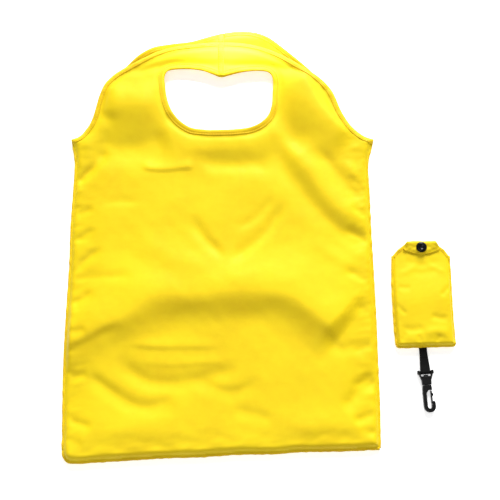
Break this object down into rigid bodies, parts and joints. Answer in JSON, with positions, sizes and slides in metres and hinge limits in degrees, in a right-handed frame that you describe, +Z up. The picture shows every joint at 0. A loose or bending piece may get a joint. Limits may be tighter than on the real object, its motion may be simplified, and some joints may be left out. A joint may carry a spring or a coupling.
{
  "type": "foldable tote bag",
  "caption": "Foldable nylon tote bag with arched handles, lying flat beside its snap-closed storage pouch, which hangs from a webbing strap with a swivel snap hook.",
  "frame": {"origin": "middle of the set's footprint, on the surface it lies on", "axes": "+Z up off the surface; +Y from the bag's bottom edge towards its handles; +X from the bag towards the pouch"},
  "size_m": [0.448, 0.52, 0.0128],
  "materials": {
    "nylon": "plain-woven nylon taffeta, thin and slightly lustrous, bright yellow",
    "seam_nylon": "the same cloth turned under and stitched, a shade deeper",
    "webbing": "ribbed black polypropylene webbing",
    "black_thread": "black polyester thread",
    "snap_plastic": "moulded black plastic, semi-gloss",
    "hook_plastic": "moulded black acetal, semi-gloss"
  },
  "bodies": {
    "bag_upper": {"front_panel_upper": "nylon", "back_panel_upper": "nylon", "side_seam_left_upper": "seam_nylon", "side_seam_right_upper": "seam_nylon"},
    "bag_lower": {"front_panel_lower": "nylon", "back_panel_lower": "nylon", "side_seam_left_lower": "seam_nylon", "side_seam_right_lower": "seam_nylon", "bottom_seam": "seam_nylon"},
    "front_handle": {"front_handle_left": "nylon", "front_handle_right": "nylon", "front_handle_seam": "seam_nylon", "front_neck_hem": "seam_nylon", "front_armhole_hem_left": "seam_nylon", "front_armhole_hem_right": "seam_nylon"},
    "back_handle": {"back_handle_left": "nylon", "back_handle_right": "nylon", "back_handle_seam": "seam_nylon", "back_neck_hem": "seam_nylon", "back_armhole_hem_left": "seam_nylon", "back_armhole_hem_right": "seam_nylon"},
    "pouch": {"pouch_front_panel": "nylon", "pouch_back_panel": "nylon", "pouch_seam_left": "seam_nylon", "pouch_seam_right": "seam_nylon", "pouch_seam_bottom": "seam_nylon", "pouch_mouth_hem": "seam_nylon", "pouch_flap_fold": "nylon", "snap_stud": "snap_plastic", "snap_stud_base": "snap_plastic"},
    "flap": {"pouch_flap": "nylon", "snap_cap": "snap_plastic", "snap_socket": "snap_plastic"},
    "strap": {"strap_webbing": "webbing", "strap_tack": "black_thread"},
    "eye": {"hook_eye": "hook_plastic"},
    "hook": {"hook_body": "hook_plastic"},
    "gate": {"hook_gate": "hook_plastic"}
  },
  "joints": [
    {"name": "front_handle_turn", "type": "hinge", "parent": "bag_upper", "child": "front_handle", "pos_m": [-0.0425, 0.118, 0.012], "axis": [1, 0, 0], "range_deg": [0, 105]},
    {"name": "back_handle_turn", "type": "hinge", "parent": "bag_upper", "child": "back_handle", "pos_m": [-0.0425, 0.118, 0], "axis": [1, 0, 0], "range_deg": [-105, 0]},
    {"name": "lower_fold", "type": "hinge", "parent": "bag_upper", "child": "bag_lower", "pos_m": [-0.0425, -0.0875, 0.0123], "axis": [-1, 0, 0], "range_deg": [0, 170]},
    {"name": "pouch_lift", "type": "slide", "parent": "bag_upper", "child": "pouch", "axis": [0, 0, 1], "range_m": [0, 0.08]},
    {"name": "flap_open", "type": "hinge", "parent": "pouch", "child": "flap", "pos_m": [0.1905, -0.0075, 0.01], "axis": [-1, 0, 0], "range_deg": [0, 175]},
    {"name": "strap_swing", "type": "hinge", "parent": "pouch", "child": "strap", "pos_m": [0.189, -0.1321, 0.0028], "axis": [1, 0, 0], "range_deg": [-90, 90]},
    {"name": "eye_swing", "type": "hinge", "parent": "strap", "child": "eye", "pos_m": [0.19091, -0.15943, 0.0028], "axis": [0.9976, 0.0698, 0], "range_deg": [-90, 90]},
    {"name": "hook_swivel", "type": "hinge", "parent": "eye", "child": "hook", "pos_m": [0.19091, -0.15943, 0.0028], "axis": [0.0698, -0.9976, 0], "continuous": true},
    {"name": "gate_open", "type": "hinge", "parent": "hook", "child": "gate", "pos_m": [0.19632, -0.18091, 0.0028], "axis": [0, 0, -1], "range_deg": [0, 14], "stiffness_Nm_per_rad": 0.002, "springref_deg": -5.73}
  ]
}
